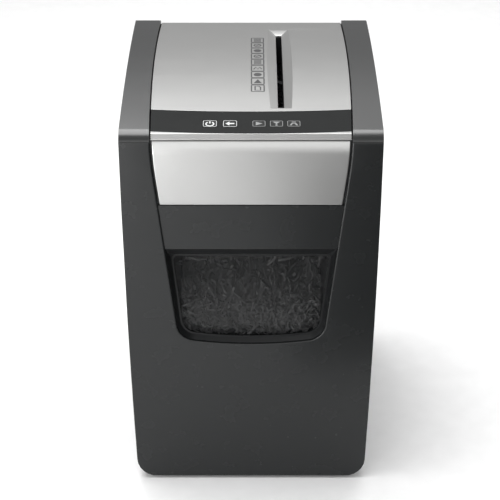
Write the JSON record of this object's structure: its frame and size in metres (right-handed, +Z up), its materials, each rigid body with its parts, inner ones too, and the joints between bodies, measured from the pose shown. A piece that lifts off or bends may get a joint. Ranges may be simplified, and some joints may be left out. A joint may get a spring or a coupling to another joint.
{
  "type": "paper shredder",
  "caption": "Upright office paper shredder with a crowned top, a feed slot running front to back, a silver fascia, a smoked window and a pull-out bin.",
  "frame": {"origin": "on the floor under the middle of the casing", "axes": "+X to the user's right, -Y out of the front, +Z up"},
  "size_m": [0.3, 0.35, 0.488],
  "materials": {
    "charcoal_shell": "satin moulded ABS with a fine grain",
    "silver_trim": "satin metallic silver paint on ABS",
    "control_panel": "satin dark grey plastic with printed symbols",
    "button_cap": "satin dark grey plastic with printed symbols",
    "indicator_lens": "dark translucent plastic with printed symbols",
    "smoked_window": "clear smoked plastic pane",
    "black_plastic": "black moulded plastic",
    "nylon": "natural nylon",
    "zinc_steel": "zinc plated sheet steel",
    "hardened_steel": "ground tool steel",
    "bronze": "oil filled sintered bronze",
    "rubber": "black rubber",
    "circuit_board": "green circuit board",
    "motor_can": "black painted steel can",
    "led": "diffused lamp body",
    "shredded_paper": "cross cut office paper"
  },
  "bodies": {
    "casing": {"left_side_panel": "charcoal_shell", "right_side_panel": "charcoal_shell", "back_panel": "charcoal_shell", "base_plate": "charcoal_shell", "rubber_feet": "rubber", "drawer_glides": "nylon", "base_screws": "zinc_steel", "back_screws": "zinc_steel", "top_panel": "silver_trim", "control_strip": "control_panel", "indicator_lenses": "indicator_lens", "control_board": "circuit_board", "tact_switches": "black_plastic", "indicator_leds": "led", "throat_guide": "black_plastic", "sensor_pin": "zinc_steel", "flap_spring": "zinc_steel", "sensor_opto": "black_plastic", "head_tray": "black_plastic", "front_chassis_plate": "zinc_steel", "rear_chassis_plate": "zinc_steel", "tie_rods": "zinc_steel", "tie_rod_screws": "zinc_steel", "left_stripper": "nylon", "right_stripper": "nylon", "shaft_bushes": "bronze", "gear_pins": "zinc_steel", "motor_casing": "motor_can", "motor_end_cap": "motor_can", "motor_screws": "zinc_steel", "power_board": "circuit_board", "board_parts": "black_plastic", "cord_gland": "black_plastic", "reed_switch": "black_plastic"},
    "drawer": {"drawer_front": "charcoal_shell", "window_frame": "charcoal_shell", "front_fascia": "silver_trim", "window_lens": "smoked_window", "bin_tub": "black_plastic", "tub_screws": "zinc_steel", "bin_magnet": "zinc_steel", "paper_shreds": "shredded_paper"},
    "power_key": {"power_button": "button_cap"},
    "reverse_key": {"reverse_button": "button_cap"},
    "flap": {"sensor_flap": "black_plastic"},
    "left_cutter": {"left_cutter_shaft": "hardened_steel", "left_cutter_discs": "hardened_steel", "left_sync_gear": "hardened_steel", "final_gear": "hardened_steel"},
    "right_cutter": {"right_cutter_shaft": "hardened_steel", "right_cutter_discs": "hardened_steel", "right_sync_gear": "hardened_steel"},
    "middle_wheel": {"middle_gear": "nylon"},
    "first_wheel": {"first_gear": "nylon"},
    "rotor": {"motor_rotor": "hardened_steel", "motor_fan": "black_plastic", "motor_pinion": "bronze"}
  },
  "joints": [
    {"name": "drawer_slide", "type": "slide", "parent": "casing", "child": "drawer", "axis": [0, -1, 0], "range_m": [0, 0.3]},
    {"name": "power_press", "type": "slide", "parent": "casing", "child": "power_key", "axis": [0, 0, -1], "range_m": [0, 0.0008], "stiffness_N_per_m": 300, "springref_m": -0.001},
    {"name": "reverse_press", "type": "slide", "parent": "casing", "child": "reverse_key", "axis": [0, 0, -1], "range_m": [0, 0.0008], "stiffness_N_per_m": 300, "springref_m": -0.001},
    {"name": "flap_pivot", "type": "hinge", "parent": "casing", "child": "flap", "pos_m": [0.024, 0, 0.461], "axis": [0, 1, 0], "range_deg": [0, 45], "stiffness_Nm_per_rad": 0.002, "springref_deg": -17.19},
    {"name": "motor_spin", "type": "hinge", "parent": "casing", "child": "rotor", "pos_m": [-0.09162, 0, 0.415], "axis": [0, 1, 0], "continuous": true},
    {"name": "first_gear_spin", "type": "hinge", "parent": "casing", "child": "first_wheel", "pos_m": [-0.06131, 0, 0.39378], "axis": [0, 1, 0], "continuous": true},
    {"name": "middle_gear_spin", "type": "hinge", "parent": "casing", "child": "middle_wheel", "pos_m": [-0.031, 0, 0.415], "axis": [0, 1, 0], "continuous": true},
    {"name": "left_cutter_spin", "type": "hinge", "parent": "casing", "child": "left_cutter", "pos_m": [0.019, 0, 0.415], "axis": [0, 1, 0], "continuous": true},
    {"name": "right_cutter_spin", "type": "hinge", "parent": "casing", "child": "right_cutter", "pos_m": [0.051, 0, 0.415], "axis": [0, 1, 0], "continuous": true}
  ],
  "couplings": [
    {"joint": "first_gear_spin", "follows": "motor_spin", "ratio": -0.23333},
    {"joint": "middle_gear_spin", "follows": "motor_spin", "ratio": 0.054444},
    {"joint": "left_cutter_spin", "follows": "motor_spin", "ratio": -0.021173},
    {"joint": "right_cutter_spin", "follows": "motor_spin", "ratio": 0.021173}
  ]
}
